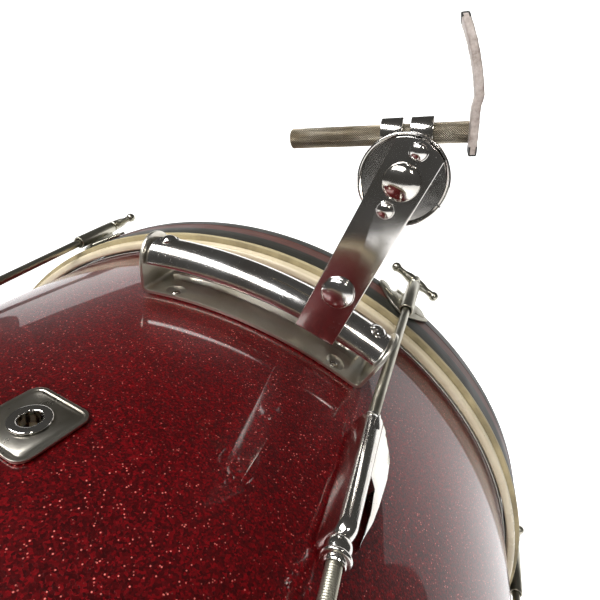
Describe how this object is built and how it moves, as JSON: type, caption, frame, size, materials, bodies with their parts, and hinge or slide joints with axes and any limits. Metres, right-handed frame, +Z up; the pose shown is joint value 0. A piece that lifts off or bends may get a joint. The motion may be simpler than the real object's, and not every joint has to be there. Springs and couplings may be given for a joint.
{
  "type": "bass drum",
  "caption": "Bass drum with lacquered shell, wooden hoops held by claws and crossbar tension rods, folding spurs and a tilting tom holder on a curved rail.",
  "frame": {"origin": "on the floor, under the middle of the drum", "axes": "Y along the drum's axis with the front head at -Y and the beater's head at +Y, +Z up"},
  "size_m": [0.6188, 0.4148, 0.6693],
  "materials": {
    "shell_lacquer": "deep red sparkle lacquer over ply, high gloss",
    "hoop_lacquer": "black lacquer with a brown inlay, semi-gloss, worn edges",
    "flesh_hoop_paint": "aged cream paint, satin",
    "head_film": "coated film, matt",
    "dull_nickel": "dulled nickel plate",
    "chrome": "chrome plate, lightly pitted",
    "aged_nickel": "worn nickel over brass, knurled",
    "raw_casting": "rough worn casting",
    "badge_metal": "worn plated badge, plain"
  },
  "bodies": {
    "drum": {"badge": "badge_metal", "batter_flesh_hoop": "flesh_hoop_paint", "batter_head": "head_film", "batter_hoop": "hoop_lacquer", "claw_batter_1": "dull_nickel", "claw_batter_2": "dull_nickel", "claw_batter_3": "dull_nickel", "claw_batter_4": "dull_nickel", "claw_batter_5": "dull_nickel", "claw_batter_6": "dull_nickel", "claw_front_1": "dull_nickel", "claw_front_2": "dull_nickel", "claw_front_3": "dull_nickel", "claw_front_4": "dull_nickel", "claw_front_5": "dull_nickel", "claw_front_6": "dull_nickel", "front_flesh_hoop": "flesh_hoop_paint", "front_head": "head_film", "front_hoop": "hoop_lacquer", "lug_1": "chrome", "lug_2": "chrome", "lug_3": "chrome", "lug_4": "chrome", "lug_5": "chrome", "lug_6": "chrome", "rail_bar": "chrome", "rail_base": "chrome", "rail_screw_left": "chrome", "rail_screw_right": "chrome", "shell": "shell_lacquer", "spur_bracket_left": "chrome", "spur_bracket_right": "chrome", "vent_grommet": "chrome"},
    "tension_rod_front_1_body": {"tension_rod_front_1": "dull_nickel"},
    "tension_rod_front_2_body": {"tension_rod_front_2": "dull_nickel"},
    "tension_rod_front_3_body": {"tension_rod_front_3": "dull_nickel"},
    "tension_rod_front_4_body": {"tension_rod_front_4": "dull_nickel"},
    "tension_rod_front_5_body": {"tension_rod_front_5": "dull_nickel"},
    "tension_rod_front_6_body": {"tension_rod_front_6": "dull_nickel"},
    "tension_rod_batter_1_body": {"tension_rod_batter_1": "dull_nickel"},
    "tension_rod_batter_2_body": {"tension_rod_batter_2": "dull_nickel"},
    "tension_rod_batter_3_body": {"tension_rod_batter_3": "dull_nickel"},
    "tension_rod_batter_4_body": {"tension_rod_batter_4": "dull_nickel"},
    "tension_rod_batter_5_body": {"tension_rod_batter_5": "dull_nickel"},
    "tension_rod_batter_6_body": {"tension_rod_batter_6": "dull_nickel"},
    "holder": {"holder_arm": "chrome", "holder_jaw": "chrome", "clamp_bolt": "chrome", "tilter_disc": "chrome", "disc_screw_upper": "chrome", "disc_screw_lower": "chrome", "pivot_bolt": "chrome"},
    "tilter": {"rod_clip": "chrome"},
    "tom_rod": {"knurled_rod": "aged_nickel", "tom_plate": "raw_casting"},
    "spur_leg_left_body": {"spur_leg_left": "chrome"},
    "spur_wing_nut_left_body": {"spur_wing_nut_left": "chrome"},
    "spur_leg_right_body": {"spur_leg_right": "chrome"},
    "spur_wing_nut_right_body": {"spur_wing_nut_right": "chrome"}
  },
  "joints": [
    {"name": "tension_rod_front_1_turn", "type": "hinge", "parent": "drum", "child": "tension_rod_front_1_body", "pos_m": [0.13283, -0.0355, 0.49607], "axis": [0.0339, -0.9977, 0.0587], "continuous": true},
    {"name": "tension_rod_front_2_turn", "type": "hinge", "parent": "drum", "child": "tension_rod_front_2_body", "pos_m": [0.26566, -0.0355, 0.266], "axis": [0.0678, -0.9977, 0], "continuous": true},
    {"name": "tension_rod_front_3_turn", "type": "hinge", "parent": "drum", "child": "tension_rod_front_3_body", "pos_m": [0.13283, -0.0355, 0.03593], "axis": [0.0339, -0.9977, -0.0587], "continuous": true},
    {"name": "tension_rod_front_4_turn", "type": "hinge", "parent": "drum", "child": "tension_rod_front_4_body", "pos_m": [-0.13283, -0.0355, 0.03593], "axis": [-0.0339, -0.9977, -0.0587], "continuous": true},
    {"name": "tension_rod_front_5_turn", "type": "hinge", "parent": "drum", "child": "tension_rod_front_5_body", "pos_m": [-0.26566, -0.0355, 0.266], "axis": [-0.0678, -0.9977, 0], "continuous": true},
    {"name": "tension_rod_front_6_turn", "type": "hinge", "parent": "drum", "child": "tension_rod_front_6_body", "pos_m": [-0.13283, -0.0355, 0.49607], "axis": [-0.0339, -0.9977, 0.0587], "continuous": true},
    {"name": "tension_rod_batter_1_turn", "type": "hinge", "parent": "drum", "child": "tension_rod_batter_1_body", "pos_m": [0.13283, 0.0355, 0.49607], "axis": [0.0339, 0.9977, 0.0587], "continuous": true},
    {"name": "tension_rod_batter_2_turn", "type": "hinge", "parent": "drum", "child": "tension_rod_batter_2_body", "pos_m": [0.26566, 0.0355, 0.266], "axis": [0.0678, 0.9977, 0], "continuous": true},
    {"name": "tension_rod_batter_3_turn", "type": "hinge", "parent": "drum", "child": "tension_rod_batter_3_body", "pos_m": [0.13283, 0.0355, 0.03593], "axis": [0.0339, 0.9977, -0.0587], "continuous": true},
    {"name": "tension_rod_batter_4_turn", "type": "hinge", "parent": "drum", "child": "tension_rod_batter_4_body", "pos_m": [-0.13283, 0.0355, 0.03593], "axis": [-0.0339, 0.9977, -0.0587], "continuous": true},
    {"name": "tension_rod_batter_5_turn", "type": "hinge", "parent": "drum", "child": "tension_rod_batter_5_body", "pos_m": [-0.26566, 0.0355, 0.266], "axis": [-0.0678, 0.9977, 0], "continuous": true},
    {"name": "tension_rod_batter_6_turn", "type": "hinge", "parent": "drum", "child": "tension_rod_batter_6_body", "pos_m": [-0.13283, 0.0355, 0.49607], "axis": [-0.0339, 0.9977, 0.0587], "continuous": true},
    {"name": "holder_along_rail", "type": "hinge", "parent": "drum", "child": "holder", "pos_m": [0, -0.0793, 0.266], "axis": [0, 1, 0], "range_deg": [-5, 20]},
    {"name": "tilter_pivot", "type": "hinge", "parent": "holder", "child": "tilter", "pos_m": [-0.12472, -0.0703, 0.60317], "axis": [0, 1, 0], "range_deg": [-45, 45]},
    {"name": "tom_rod_slide", "type": "slide", "parent": "tilter", "child": "tom_rod", "axis": [0.9893, 0, -0.1461], "range_m": [-0.04, 0.0065]},
    {"name": "spur_leg_left_fold", "type": "hinge", "parent": "drum", "child": "spur_leg_left_body", "pos_m": [0.23729, -0.105, 0.129], "axis": [0.8854, 0, 0.4649], "range_deg": [0, 100]},
    {"name": "spur_wing_nut_left_turn", "type": "hinge", "parent": "drum", "child": "spur_wing_nut_left_body", "pos_m": [0.23729, -0.105, 0.129], "axis": [0.8854, 0, 0.4649], "continuous": true},
    {"name": "spur_leg_right_fold", "type": "hinge", "parent": "drum", "child": "spur_leg_right_body", "pos_m": [-0.23729, -0.105, 0.129], "axis": [0.8854, 0, -0.4649], "range_deg": [0, 100]},
    {"name": "spur_wing_nut_right_turn", "type": "hinge", "parent": "drum", "child": "spur_wing_nut_right_body", "pos_m": [-0.23729, -0.105, 0.129], "axis": [-0.8854, 0, 0.4649], "continuous": true}
  ]
}
